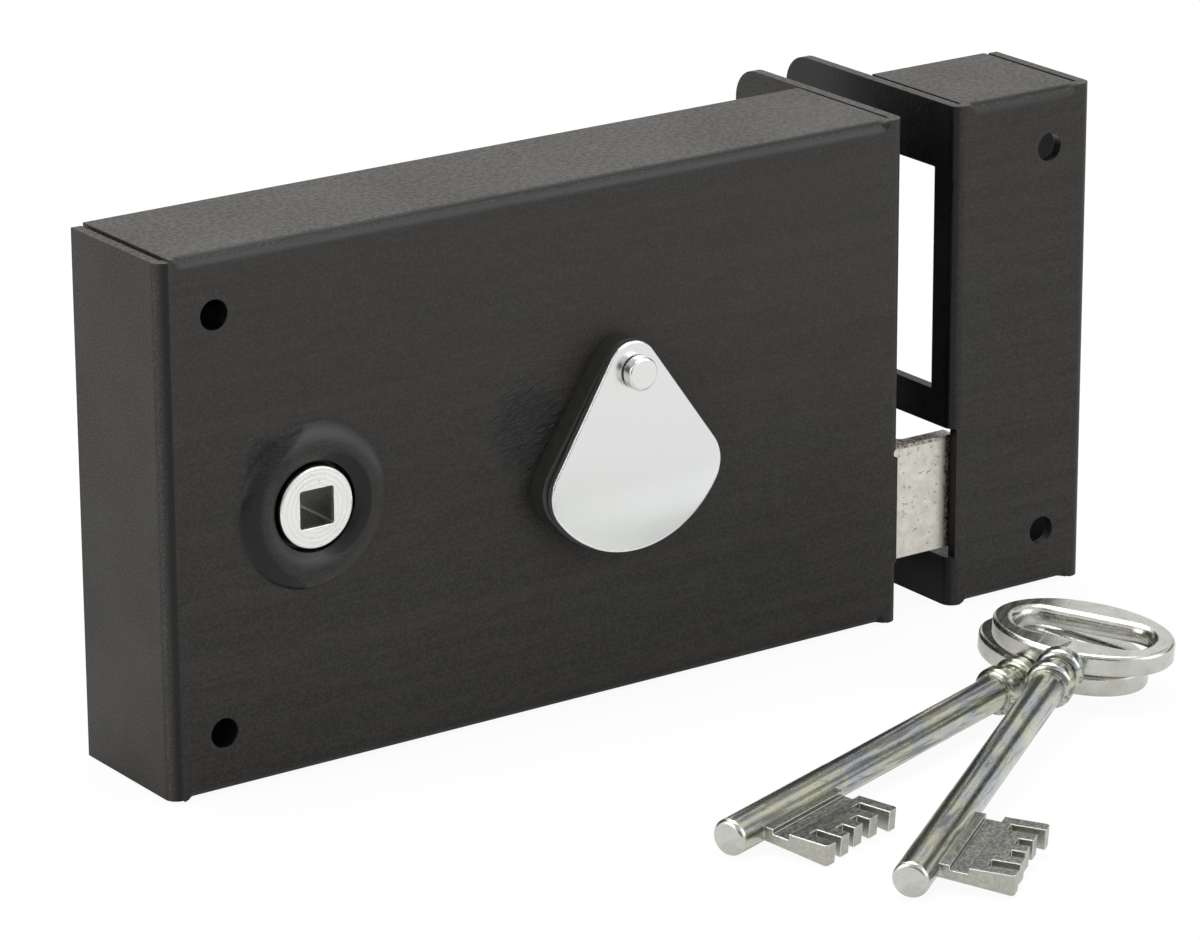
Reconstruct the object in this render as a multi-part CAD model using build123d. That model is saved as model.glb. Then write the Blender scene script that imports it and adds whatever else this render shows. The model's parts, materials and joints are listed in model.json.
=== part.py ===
from build123d import *
import math
import os

# Rim box lock with its keep and two bit keys, in millimetres.
# +X runs along the lock towards the keep, +Y towards the door face, +Z up.
# The origin is the middle of the case's door face.

# Case and keep, both folded from one sheet
case_length = 160.0
case_height = 98.0
case_depth = 29.0
sheet = 2.0
bend_radius = 2.3
fold_gap = 0.7
ear_width = 2.8
ear_slope = 2.2
ear_setback = 0.35
ear_blend_shares = [(0.0, 0.0), (0.3, 0.15), (0.7, 0.85), (1.0, 1.0)]
flange_setback = 0.5
tongue_setback = 0.7
relief_depth = 1.5
lower_relief_height = 0.6
upper_relief_height = 1.5
case_lip_reach = 20.4
keep_lip_reach = 23.3
lip_corner_radius = 6.0
keep_gap = 12.2
keep_width = 32.5
window_corner_radius = 0.2
keep_notch_reach = 1.2
keep_front_margin = 0.6
keep_rear_margin = 4.0
deadbolt_margins = [3.8, 3.4]
latch_margins = [1.8, 1.6]

# Fixing holes
fixing_radius = 2.75
fixing_edge_inset = 11.0
case_fixing_inset = 11.0
keep_fixing_inset = 10.2
lip_fixing_edge_inset = 9.0
case_lip_fixing_reach = 12.5
keep_lip_fixing_reach = 14.5

# Emboss round the follower
emboss_radius = 15.2
emboss_crest_radius = 11.3
emboss_rise = 1.7
emboss_lip_rise = 0.7
emboss_hole_radius = 8.3
emboss_wall_share = 0.95
emboss_slope_shares = [(0.12, 0.55), (0.55, 1.0)]

# Follower
follower_inset = 30.0
spindle_square = 7.0
spindle_chamfer = 0.35
follower_radius = 7.5
follower_stand = 1.4
follower_edge_radius = 0.4
follower_flange_radius = 9.5
follower_flange_thickness = 2.6
follower_flange_clearance = 0.3
follower_boss_radius = 7.0
follower_arm_radius = 3.0
follower_arm_clearance = 1.2
follower_arm_thickness = 4.0

# Key and keyhole
key_backset = 65.5
key_height = 1.5
key_shank_radius = 3.25
key_tip_radius = 3.3
key_tip_rounding = 0.9
key_step_at = 31.0
key_bead_radius = 4.5
key_bead_length = 3.4
key_bead_places = [83.8, 89.9]
key_neck_radius = 3.0
key_bow_at = 105.5
key_bow_width = 34.0
key_bow_depth = 23.6
key_bow_thickness = 4.1
key_bow_rounding = 0.8
key_slot_width = 25.4
key_slot_depth = 9.8
key_slot_rounding = 1.7
key_bit_at = 6.0
key_bit_length = 21.0
key_bit_reach = 16.4
key_bit_thickness = 3.8
key_bit_root_thickness = 2.5
key_bit_rounding = 0.7
key_groove_at = 5.1
key_groove_width = 3.3
key_groove_depth = 1.5
key_cut_depths = [5.5, 3.4, 3.6, 6.2]
key_tooth_shortenings = [0.0, 0.4, 0.9, 0.9, 0.0]
key_cut_width_share = 0.43
keyhole_clearance = 0.6
keyhole_slot_clearance = 0.4

# Where the two keys lie on the surface in front of the lock
key_1_tip = (-15.7, -103.9)
key_1_heading = 17.8
key_2_tip = (-2.3, -136.6)
key_2_heading = 34.3
key_2_bow_lift = 1.05

# Drop cover, its block and its rivet
cover_top_radius = 5.3
cover_top_rise = 12.8
cover_pivot_rise = 12.3
cover_pivot_shift = 0.6
cover_bottom_radius = 20.9
cover_centre_drop = 0.65
cover_corner_radius = 7.4
cover_corner_angle = 56.5
cover_hang_angle = 2.4
cover_thickness = 1.5
cover_gap = 0.2
cover_rounding = 0.35
block_thickness = 4.0
block_peg_radius = 1.5
block_peg_spread = 18.0
block_peg_drop = 9.0
rivet_shank_radius = 2.0
rivet_head_radius = 3.1
rivet_head_thickness = 2.0
rivet_head_rounding = 0.5
rivet_neck_length = 0.4
rivet_tail_radius = 3.2
rivet_tail_thickness = 1.0

# Latch bolt
latch_height = 22.3
latch_bottom_inset = 11.4
latch_thickness = 14.0
latch_front_gap = 0.4
latch_projection = 14.5
latch_wall = 3.0
latch_nose = 6.9
latch_head_length = 33.4
latch_rounding = 1.0
latch_top_step = 0.7
latch_tail_drop = 2.05
latch_tail_width = 9.0
latch_tail_thickness = 3.0
latch_tail_lap = 9.0
latch_tail_front = 3.0
latch_hook_width = 7.0
latch_hook_clearance = 0.65
latch_hook_rise = 5.3
latch_rod_radius = 2.0
latch_rod_reach = 38.0
latch_rod_depth = 15.5
spring_stop_distance = 36.0
spring_stop_width = 4.0
spring_stop_height = 10.0
spring_wire_radius = 0.5
spring_radius = 4.0
spring_turns = 7
spring_end_gap = 0.35
guide_post_at = 0.0
guide_post_radius = 2.0
guide_head_radius = 3.6
guide_head_thickness = 1.2
pin_radius = 1.5
latch_pin_stop = 1.0

# Deadbolt
deadbolt_height = 36.0
deadbolt_thickness = 12.0
deadbolt_rise = 13.5
deadbolt_centre_depth = 16.0
deadbolt_head_length = 29.7
deadbolt_recess = 0.3
deadbolt_throw = 14.0
deadbolt_rounding = 0.6
deadbolt_tail_rise = 11.5
deadbolt_tail_height = 18.0
deadbolt_tail_thickness = 3.0
deadbolt_tail_left = -52.0
deadbolt_tail_lap = 9.0
talon_width = 13.0
talon_depth = 6.5
stump_at = -8.0
stump_rise = 22.5
stump_size = 5.0

# Levers and their post
lever_count = 4
lever_thickness = 1.6
lever_gap = 0.7
lever_post_x = -30.0
lever_post_rise = 20.5
lever_post_radius = 3.0
lever_post_shoulder_radius = 5.0
lever_washer_thickness = 0.5
lever_eye_radius = 7.0
lever_belly_radius = 6.0
lever_belly_rises = [8.7, 10.8, 11.0, 8.8]
lever_nose_x = 25.0
lever_nose_rise = 26.5
lever_nose_radius = 3.0
lever_lifts = [5.0, 4.2, 4.0, 4.6]
gate_clearance = 0.8
leaf_thickness = 0.4
leaf_width = 1.2
leaf_contact_x = 20.0
leaf_block_left = -12.0
leaf_block_right = -4.0
leaf_block_drop = 4.0
leaf_gap = 0.3

# Back plate, pillars and screws
back_plate_thickness = 1.5
back_plate_clearance = 0.3
pillar_radius = 3.0
pillar_edge_inset = 6.0
upper_pillar_insets = [35.0, 38.0]
lower_pillar_insets = [45.0, 16.0]
screw_radius = 1.45
screw_hole_radius = 1.5
screw_length = 8.0
screw_head_radius = 2.8
screw_slot_width = 0.7
screw_slot_depth = 0.5
tube_radius = 4.5

# Clearances
sliding_clearance = 0.3
running_clearance = 0.05
overrun = 3.0
same_place = 0.01

# Places worked out from the sizes above
left_end = -case_length / 2
forend = case_length / 2
front = -case_depth
front_inside = front + sheet
top = case_height / 2
bottom = -case_height / 2
keep_left = forend + keep_gap
keep_right = keep_left + keep_width
follower_x = left_end + follower_inset
key_x = forend - key_backset
fixing_heights = [bottom + fixing_edge_inset, top - fixing_edge_inset]
lip_fixing_heights = [bottom + lip_fixing_edge_inset, top - lip_fixing_edge_inset]
cover_pivot_x = key_x + cover_pivot_shift
cover_pivot_height = key_height + cover_pivot_rise
deadbolt_centre_height = key_height + deadbolt_rise
deadbolt_tail_bottom = key_height + deadbolt_tail_rise
deadbolt_tail_top = deadbolt_tail_bottom + deadbolt_tail_height
stump_height = key_height + stump_rise
lever_post_height = key_height + lever_post_rise
lever_nose_height = key_height + lever_nose_rise
latch_centre_height = bottom + latch_bottom_inset + latch_height / 2
latch_tail_height = latch_centre_height - latch_tail_drop
latch_tail_edge = latch_tail_height + latch_tail_width / 2
follower_arm_length = -latch_tail_edge - follower_arm_clearance - follower_arm_radius
latch_hook_top = latch_hook_rise - follower_arm_length
block_front = front - block_thickness
cover_back = block_front - cover_gap
cover_front = cover_back - cover_thickness
back_plate_front = -back_plate_thickness


def block(x0, x1, y0, y1, z0, z1):
    """A box between two corners."""
    return Pos((x0 + x1) / 2, (y0 + y1) / 2, (z0 + z1) / 2) * Box(x1 - x0, y1 - y0, z1 - z0)


def rod_x(radius, y, z, x0, x1):
    """A round rod along X."""
    return Pos((x0 + x1) / 2, y, z) * Rot(0, 90, 0) * Cylinder(radius, x1 - x0)


def rod_y(radius, x, z, y0, y1):
    """A round rod along Y."""
    return Pos(x, (y0 + y1) / 2, z) * Rot(90, 0, 0) * Cylinder(radius, y1 - y0)


def upright(sketch, y0, y1):
    """A plate of the given outline, drawn in X and Z, between two depths."""
    return Pos(0, y1, 0) * Rot(90, 0, 0) * extrude(sketch, amount=y1 - y0, dir=(0, 0, 1))


def turned(profile, x, y, z):
    """A body of revolution whose axis points at the viewer."""
    return Pos(x, y, z) * Rot(90, 0, 0) * revolve(profile, Axis.Z, 360)


def disc(radius, x, z):
    """A circle at X and Z, for an upright outline."""
    return Pos(x, z) * Circle(radius)


def bar(x0, x1, z0, z1):
    """A rectangle between two corners, for an upright outline."""
    return Pos((x0 + x1) / 2, (z0 + z1) / 2) * Rectangle(x1 - x0, z1 - z0)


def edges_along(part, axis, **places):
    """The edges along an axis whose middle lies at the given places."""
    chosen = part.edges().filter_by(axis)
    for name, value in places.items():
        chosen = chosen.filter_by(lambda e: abs(getattr(e.center(), name) - value) < same_place)
    return chosen


def keyhole():
    """The keyhole's outline: a round hole with a slot below it for the bit."""
    half_slot = key_bit_thickness / 2 + keyhole_slot_clearance
    reach = key_bit_reach + keyhole_clearance
    slot = bar(key_x - half_slot, key_x + half_slot, key_height - reach, key_height)
    return disc(key_shank_radius + keyhole_clearance, key_x, key_height) + slot


def corner_waste(x, side, radius):
    """What a fold of the given radius takes off the square top or bottom edge, at one X."""
    edge = side * top
    low = edge - side * radius
    far = edge + side * overrun
    middle = math.sqrt(1 / 2)
    arc = ThreePointArc(
        (x, front, low),
        (x, front + radius * (1 - middle), edge - side * radius * (1 - middle)),
        (x, front + radius, edge),
    )
    rim = Polyline(
        (x, front + radius, edge),
        (x, front + radius, far),
        (x, front - overrun, far),
        (x, front - overrun, low),
        (x, front, low),
    )
    return make_face([*arc.edges(), *rim.edges()])


def fold_rounding(x0, x1, side):
    """The rounding of the top or bottom fold, which dies out towards the square ears."""
    cutters = []
    for end, inwards in ((x0, 1), (x1, -1)):
        sections = []
        for along, grown in ear_blend_shares:
            radius = ear_setback + grown * (bend_radius - ear_setback)
            sections.append(corner_waste(end + inwards * (ear_width + along * ear_slope), side, radius))
        cutters.append(loft(sections, ruled=True))
    start = x0 + ear_width + ear_slope
    length = x1 - ear_width - ear_slope - start
    cutters.append(extrude(corner_waste(start, side, bend_radius), amount=length, dir=(1, 0, 0)))
    return cutters


def folded_box(x0, x1):
    """A box folded from sheet, open at the door face, with seams between its flanges."""
    outer = block(x0, x1, front, 0, bottom, top)
    for x in (x0, x1):
        outer = fillet(edges_along(outer, Axis.Z, X=x, Y=front), bend_radius)
    inner = block(x0 + sheet, x1 - sheet, front_inside, overrun, bottom + sheet, top - sheet)
    face = inner.faces().sort_by(Axis.Y)[0]
    inner = fillet(face.edges(), bend_radius - sheet)
    box = outer - inner
    for side in (-1, 1):
        for cutter in fold_rounding(x0, x1, side):
            box -= cutter
        z0, z1 = sorted((side * (top - sheet - overrun), side * (top + overrun)))
        for x in (x0 + sheet, x1 - sheet - fold_gap):
            box -= block(x, x + fold_gap, front + bend_radius, overrun, z0, z1)
    return box


def ear_waste(x0, x1):
    """What keeps an end plate and its ears short of the top and bottom faces."""
    high = block(x0, x1, front - overrun, overrun, top - ear_setback, top + overrun)
    return high + block(x0, x1, front - overrun, overrun, bottom - overrun, bottom + ear_setback)


def emboss_profile(outer, hole, rise, lip_rise, base):
    """Half the section of the raised ring, as a face to revolve."""
    crest = emboss_crest_radius
    width = outer - crest
    steps = [(outer - along * width, 0, base + up * rise) for along, up in emboss_slope_shares]
    slope = Bezier((outer, 0, base), *steps, (crest, 0, base + rise))
    dish = Bezier(
        (crest, 0, base + rise),
        ((crest + hole) / 2, 0, base + rise),
        (hole, 0, base + lip_rise),
    )
    floor_line = Polyline(
        (hole, 0, base + lip_rise),
        (hole, 0, base - sheet / 2),
        (outer, 0, base - sheet / 2),
        (outer, 0, base),
    )
    return make_face([*slope.edges(), *dish.edges(), *floor_line.edges()])


def add_emboss(plate):
    """Raises the ring round the follower and opens its hole."""
    ring = emboss_profile(emboss_radius, emboss_hole_radius, emboss_rise, emboss_lip_rise, 0)
    hollow_outer = emboss_radius * emboss_wall_share
    hollow = emboss_profile(hollow_outer, emboss_hole_radius, emboss_rise, emboss_lip_rise, -sheet)
    plate += turned(ring, follower_x, front, 0)
    plate -= turned(hollow, follower_x, front, 0)
    return plate - rod_y(emboss_hole_radius, follower_x, 0, front - overrun, front_inside + overrun)


def lip(x0, rear):
    """The rear lip of a forend or keep plate, with rounded corners."""
    plate = block(x0, x0 + sheet, -sheet, rear, bottom, top)
    corners = plate.edges().filter_by(Axis.X)
    corners = corners.filter_by(lambda e: abs(e.center().Y - rear) < same_place)
    return fillet(corners, lip_corner_radius)


def lip_holes(x0, reach):
    """The two screw holes through a rear lip."""
    low, high = lip_fixing_heights
    start, end = x0 - overrun, x0 + sheet + overrun
    return rod_x(fixing_radius, reach, low, start, end) + rod_x(fixing_radius, reach, high, start, end)


def window(x0, y0, y1, z0, z1):
    """A cutter for a bolt opening through a plate whose outer face is at x0."""
    cutter = block(x0 - overrun, x0 + sheet + overrun, y0, y1, z0, z1)
    return fillet(cutter.edges().filter_by(Axis.X), window_corner_radius)


def bolt_limits(clearance):
    """The openings that the deadbolt and the latch pass through, as Y and Z limits."""
    half_bolt = deadbolt_thickness / 2 + clearance
    half_height = deadbolt_height / 2 + clearance
    latch_back = latch_front_face() + latch_thickness
    half_latch = latch_height / 2 + clearance
    deadbolt = (
        -deadbolt_centre_depth - half_bolt,
        -deadbolt_centre_depth + half_bolt,
        deadbolt_centre_height - half_height,
        deadbolt_centre_height + half_height,
    )
    latch = (
        front_inside,
        latch_back + clearance,
        latch_centre_height - half_latch,
        latch_centre_height + half_latch,
    )
    return deadbolt, latch


def make_case_front():
    """The folded case: front plate, four flanges, forend with rear lip, emboss and openings."""
    case = folded_box(left_end, forend) + lip(forend - sheet, case_lip_reach)
    case = add_emboss(case)
    case -= ear_waste(left_end - overrun, left_end + sheet + fold_gap)
    case -= block(left_end - overrun, left_end + sheet, -flange_setback, overrun, bottom, top)
    for z in fixing_heights:
        case -= rod_y(fixing_radius, left_end + case_fixing_inset, z, front - overrun, front_inside + overrun)
    case -= upright(keyhole(), front - overrun, front_inside + overrun)
    hole = rivet_shank_radius + running_clearance
    case -= rod_y(hole, cover_pivot_x, cover_pivot_height, front - overrun, front_inside + overrun)
    for x in peg_places():
        case -= rod_y(block_peg_radius + running_clearance, x, key_height - block_peg_drop,
                      front - overrun, front_inside + overrun)
    case -= lip_holes(forend - sheet, case_lip_fixing_reach)
    deadbolt, latch = bolt_limits(sliding_clearance)
    case -= window(forend - sheet, *deadbolt)
    case -= window(forend - sheet, *latch)
    return open_bend(case, latch[2], latch[3])


def open_bend(case, z0, z1):
    """Where the latch opening reaches the bend, the front sheet stays flat between two reliefs."""
    lower, upper = z0 + lower_relief_height, z1 - upper_relief_height
    tip = forend - tongue_setback
    case += block(forend - bend_radius, tip, front, front_inside, lower, upper)
    opening = bar(tip, forend + overrun, z0, z1)
    for low, height in ((z0, lower_relief_height), (upper, upper_relief_height)):
        end = forend - relief_depth + height / 2
        opening += bar(end, forend + overrun, low, low + height) + disc(height / 2, end, low + height / 2)
    return case - upright(opening, front - overrun, front + bend_radius)


def keep_windows():
    """Lower and upper edge of the keep's windows for the deadbolt and for the latch."""
    below, above = deadbolt_margins
    half = deadbolt_height / 2
    deadbolt = (deadbolt_centre_height - half - below, deadbolt_centre_height + half + above)
    below, above = latch_margins
    half = latch_height / 2
    return deadbolt, (latch_centre_height - half - below, latch_centre_height + half + above)


def make_keep():
    """The folded keep: a box whose left plate has the two bolt windows and a rear lip."""
    keep = folded_box(keep_left, keep_right) + lip(keep_left, keep_lip_reach)
    keep -= block(keep_right - sheet, keep_right + overrun, -flange_setback, overrun, bottom, top)
    for z in fixing_heights:
        x = keep_right - keep_fixing_inset
        keep -= rod_y(fixing_radius, x, z, front - overrun, front_inside + overrun)
    keep -= lip_holes(keep_left, keep_lip_fixing_reach)
    half = deadbolt_thickness / 2
    rear = half + keep_rear_margin - deadbolt_centre_depth
    deadbolt, latch = keep_windows()
    keep -= window(keep_left, -half - keep_front_margin - deadbolt_centre_depth, rear, *deadbolt)
    keep += block(keep_left + keep_notch_reach, keep_left + bend_radius, front, front_inside, *latch)
    keep -= window(keep_left, front_inside, rear, *latch)
    notch_end = keep_left + keep_notch_reach
    return keep - block(keep_left - overrun, notch_end, front - overrun, front + bend_radius, *latch)


def peg_places():
    """Where the keyhole block's two pegs go through the front plate."""
    return key_x - block_peg_spread / 2, key_x + block_peg_spread / 2


def pear():
    """The outline that the drop cover and the keyhole block share."""
    angle = math.radians(cover_corner_angle)
    reach = cover_bottom_radius - cover_corner_radius
    across = reach * math.sin(angle)
    down = reach * math.cos(angle)
    centre = key_height - cover_centre_drop
    circles = disc(cover_top_radius, key_x, key_height + cover_top_rise)
    for side in (-1, 1):
        circles += disc(cover_corner_radius, key_x + side * across, centre - down)
    far = cover_bottom_radius / math.cos(angle / 2)
    wedge = Polygon(
        (key_x, centre),
        (key_x + far * math.sin(angle), centre - far * math.cos(angle)),
        (key_x + far * math.sin(angle), centre - 2 * far),
        (key_x - far * math.sin(angle), centre - 2 * far),
        (key_x - far * math.sin(angle), centre - far * math.cos(angle)),
        align=None,
    )
    rounded = disc(cover_bottom_radius, key_x, centre) & wedge
    return make_hull(circles.edges()) + rounded


def make_drop_cover():
    """The bright pear-shaped cover that hangs over the keyhole."""
    cover = upright(pear(), cover_front, cover_back)
    cover = fillet(cover.faces().sort_by(Axis.Y)[0].edges(), cover_rounding)
    cover = Rot(0, -cover_hang_angle, 0) * Pos(-cover_pivot_x, 0, -cover_pivot_height) * cover
    hole = rivet_shank_radius + running_clearance
    cover -= rod_y(hole, 0, 0, cover_front - overrun, cover_back + overrun)
    return Pos(cover_pivot_x, 0, cover_pivot_height) * cover


def make_keyhole_block():
    """The black block behind the cover, with the keyhole and two pegs into the front plate."""
    body = upright(pear(), block_front, front)
    for x in peg_places():
        body += rod_y(block_peg_radius, x, key_height - block_peg_drop, front - sheet, front_inside)
    body -= upright(keyhole(), block_front - overrun, front + overrun)
    hole = rivet_shank_radius + running_clearance
    return body - rod_y(hole, cover_pivot_x, cover_pivot_height, block_front - overrun, front + overrun)


def make_cover_rivet():
    """The rivet that carries the cover, clenched inside the front plate."""
    head_back = cover_front - rivet_neck_length
    x, z = cover_pivot_x, cover_pivot_height
    head = rod_y(rivet_head_radius, x, z, head_back - rivet_head_thickness, head_back)
    head = fillet(head.faces().sort_by(Axis.Y)[0].edges(), rivet_head_rounding)
    shank = rod_y(rivet_shank_radius, x, z, head_back, front_inside)
    tail_end = front_inside + rivet_tail_thickness
    return head + shank + rod_y(rivet_tail_radius, x, z, front_inside, tail_end)


def make_follower():
    """The follower: front disc, flange, arm that works the latch, and rear boss."""
    flange_front = front_inside - emboss_lip_rise + follower_flange_clearance
    arm_front = flange_front + follower_flange_thickness
    arm_back = arm_front + follower_arm_thickness
    face = rod_y(follower_radius, follower_x, 0, front - follower_stand, flange_front)
    face = fillet(face.faces().sort_by(Axis.Y)[0].edges(), follower_edge_radius)
    flange = rod_y(follower_flange_radius, follower_x, 0, flange_front, arm_front)
    boss = rod_y(follower_boss_radius, follower_x, 0, arm_front, 0)
    arm = disc(follower_arm_radius, follower_x, -follower_arm_length)
    arm += bar(follower_x - follower_arm_radius, follower_x + follower_arm_radius, -follower_arm_length, 0)
    body = flange + boss + face + upright(arm, arm_front, arm_back)
    half = spindle_square / 2
    square = bar(follower_x - half, follower_x + half, -half, half)
    square = chamfer(square.vertices(), spindle_chamfer)
    return body - upright(square, front - follower_stand - overrun, overrun)


def latch_front_face():
    """Depth of the latch bolt's front face, just behind the front plate."""
    return front_inside + latch_front_gap


def latch_tail_faces():
    """Front and back of the latch's flat tail."""
    tail_front = front_inside + latch_tail_front
    return tail_front, tail_front + latch_tail_thickness


def latch_tail_box(slack):
    """Lower and upper edge of the latch tail, grown by a slack."""
    half = latch_tail_width / 2 + slack
    return latch_tail_height - half, latch_tail_height + half


def latch_head_back():
    """X of the latch head's inner end."""
    return forend + latch_projection - latch_head_length


def latch_pin_places():
    """Where the two pins join the latch head and tail."""
    start = latch_head_back()
    return start + latch_tail_lap / 4, start + latch_tail_lap * 3 / 4


def latch_pin_end():
    """Depth at which the latch pins stop, short of the spring rod."""
    return -latch_rod_depth - latch_rod_radius - latch_pin_stop


def make_latch_bolt():
    """The latch head: a thin front wall to the tip, and a bevel on the door side."""
    tip = forend + latch_projection
    start = latch_head_back()
    face = latch_front_face()
    back = face + latch_thickness
    wall_back = face + latch_wall
    shoulder = tip - latch_nose
    bevel_end = shoulder - (back - wall_back)
    outline = Polygon(
        (start, face), (tip, face), (tip, wall_back), (shoulder, wall_back), (bevel_end, back), (start, back),
        align=None,
    )
    low = latch_centre_height - latch_height / 2
    high = latch_centre_height + latch_height / 2
    head = Pos(0, 0, low) * extrude(outline, amount=latch_height)
    head = fillet(edges_along(head, Axis.Z, X=tip, Y=face), latch_rounding)
    step = high - latch_top_step
    head -= block(start - overrun, tip + overrun, wall_back, back + overrun, step, high + overrun)
    tail_front, tail_back = latch_tail_faces()
    z0, z1 = latch_tail_box(running_clearance)
    slot_end = start + latch_tail_lap + running_clearance
    slot_front, slot_back = tail_front - running_clearance, tail_back + running_clearance
    head -= block(start - overrun, slot_end, slot_front, slot_back, z0, z1)
    for x in latch_pin_places():
        head -= rod_y(pin_radius, x, latch_tail_height, face - overrun, latch_pin_end())
    return head - rod_x(latch_rod_radius, -latch_rod_depth, latch_tail_height, start - overrun,
                        start + latch_tail_lap)


def make_latch_tail():
    """The latch's flat tail, with a guide slot and a hook for the follower's arm."""
    tail_front, tail_back = latch_tail_faces()
    z0, z1 = latch_tail_box(0)
    hook_face = follower_x - follower_arm_radius - latch_hook_clearance
    end = latch_head_back() + latch_tail_lap
    outline = bar(hook_face - latch_hook_width, end, z0, z1)
    outline += bar(hook_face - latch_hook_width, hook_face, z0, latch_hook_top)
    slot_half = guide_post_radius + running_clearance
    slot_start = guide_post_at - sliding_clearance
    slot_end = guide_post_at + latch_projection + sliding_clearance
    outline -= bar(slot_start, slot_end, latch_tail_height - slot_half, latch_tail_height + slot_half)
    for x in (slot_start, slot_end):
        outline -= disc(slot_half, x, latch_tail_height)
    for x in latch_pin_places():
        outline -= disc(pin_radius, x, latch_tail_height)
    return upright(outline, tail_front, tail_back)


def make_latch_pins():
    """The two pins across the latch head and tail."""
    face = latch_front_face()
    return [rod_y(pin_radius, x, latch_tail_height, face, latch_pin_end()) for x in latch_pin_places()]


def make_latch_rod():
    """The rod on the latch head that carries the coil spring and slides in the spring stop."""
    start = latch_head_back()
    end = start + latch_tail_lap - running_clearance
    return rod_x(latch_rod_radius, -latch_rod_depth, latch_tail_height, start - latch_rod_reach, end)


def spring_stop_faces():
    """The two faces of the spring stop, at a set distance behind the latch head."""
    start = latch_head_back() - spring_stop_distance
    return start, start + spring_stop_width


def make_spring_stop():
    """The post on the back plate that the latch spring pushes against."""
    x0, x1 = spring_stop_faces()
    half = spring_stop_height / 2
    depth = latch_rod_depth + half
    stop = block(x0, x1, -depth, back_plate_front, latch_tail_height - half, latch_tail_height + half)
    hole = latch_rod_radius + running_clearance
    return stop - rod_x(hole, -latch_rod_depth, latch_tail_height, x0 - overrun, x1 + overrun)


def make_latch_spring():
    """The coil spring between the stop and the latch head."""
    start = spring_stop_faces()[1] + spring_wire_radius + spring_end_gap
    end = latch_head_back() - spring_wire_radius - spring_end_gap
    length = end - start
    path = Helix(pitch=length / spring_turns, height=length, radius=spring_radius)
    wire = sweep(Plane(origin=path @ 0, z_dir=path % 0) * Circle(spring_wire_radius), path=path)
    return Pos(start, -latch_rod_depth, latch_tail_height) * Rot(0, 90, 0) * wire


def make_guide_post():
    """The headed post that guides the latch tail."""
    tail_front, tail_back = latch_tail_faces()
    head_front = tail_back + sliding_clearance
    head_back = head_front + guide_head_thickness
    shoulder_back = tail_front - sliding_clearance
    post = rod_y(guide_post_radius, guide_post_at, latch_tail_height, front_inside, head_front)
    post += rod_y(guide_head_radius, guide_post_at, latch_tail_height, head_front, head_back)
    return post + rod_y(guide_head_radius, guide_post_at, latch_tail_height, front_inside, shoulder_back)


def deadbolt_tail_faces():
    """Front and back of the deadbolt's flat tail."""
    half = deadbolt_tail_thickness / 2
    return -deadbolt_centre_depth - half, -deadbolt_centre_depth + half


def deadbolt_head_back():
    """X of the deadbolt head's inner end."""
    return forend - deadbolt_recess - deadbolt_head_length


def deadbolt_pin_places():
    """X and Z of the two pins that join the deadbolt's head and tail."""
    x = deadbolt_head_back() + deadbolt_tail_lap / 2
    quarter = (deadbolt_tail_top - deadbolt_tail_bottom) / 4
    middle = (deadbolt_tail_top + deadbolt_tail_bottom) / 2
    return (x, middle - quarter), (x, middle + quarter)


def make_deadbolt_head():
    """The solid rectangular deadbolt head, slotted for its tail."""
    half_depth = deadbolt_thickness / 2
    half_height = deadbolt_height / 2
    start = deadbolt_head_back()
    y0, y1 = -deadbolt_centre_depth - half_depth, -deadbolt_centre_depth + half_depth
    low, high = deadbolt_centre_height - half_height, deadbolt_centre_height + half_height
    head = block(start, forend - deadbolt_recess, y0, y1, low, high)
    head = fillet(head.edges().filter_by(Axis.X), deadbolt_rounding)
    tail_front, tail_back = deadbolt_tail_faces()
    slot_end = start + deadbolt_tail_lap + running_clearance
    slot_front, slot_back = tail_front - running_clearance, tail_back + running_clearance
    low, high = deadbolt_tail_bottom - running_clearance, deadbolt_tail_top + running_clearance
    head -= block(start - overrun, slot_end, slot_front, slot_back, low, high)
    for x, z in deadbolt_pin_places():
        head -= rod_y(pin_radius, x, z, y0 - overrun, y1 + overrun)
    return head


def make_deadbolt_tail():
    """The deadbolt's flat tail, with the slot for the lever post and the talon for the key."""
    y0, y1 = deadbolt_tail_faces()
    end = deadbolt_head_back() + deadbolt_tail_lap
    outline = bar(deadbolt_tail_left, end, deadbolt_tail_bottom, deadbolt_tail_top)
    slot_half = lever_post_radius + running_clearance
    slot_left = lever_post_x - deadbolt_throw - sliding_clearance
    slot_right = lever_post_x + sliding_clearance
    outline -= bar(slot_left, slot_right, lever_post_height - slot_half, lever_post_height + slot_half)
    for x in (slot_left, slot_right):
        outline -= disc(slot_half, x, lever_post_height)
    talon_left = key_x - deadbolt_throw / 2 - talon_width / 2
    talon_top = deadbolt_tail_bottom + talon_depth
    outline -= bar(talon_left, talon_left + talon_width, deadbolt_tail_bottom - overrun, talon_top)
    half = stump_size / 2 + running_clearance
    outline -= bar(stump_at - half, stump_at + half, stump_height - half, stump_height + half)
    for x, z in deadbolt_pin_places():
        outline -= disc(pin_radius, x, z)
    return upright(outline, y0, y1)


def make_deadbolt_pins():
    """The two pins across the deadbolt's head and tail."""
    half = deadbolt_thickness / 2
    return [rod_y(pin_radius, x, z, -deadbolt_centre_depth - half, -deadbolt_centre_depth + half)
            for x, z in deadbolt_pin_places()]


def lever_faces(index):
    """Front and back of one lever: half of them lie each side of the deadbolt's tail."""
    tail_front, tail_back = deadbolt_tail_faces()
    step = lever_thickness + lever_gap
    before = lever_count // 2
    if index < before:
        back = tail_front - lever_gap - (before - 1 - index) * step
        return back - lever_thickness, back
    face = tail_back + lever_gap + (index - before) * step
    return face, face + lever_thickness


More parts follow.
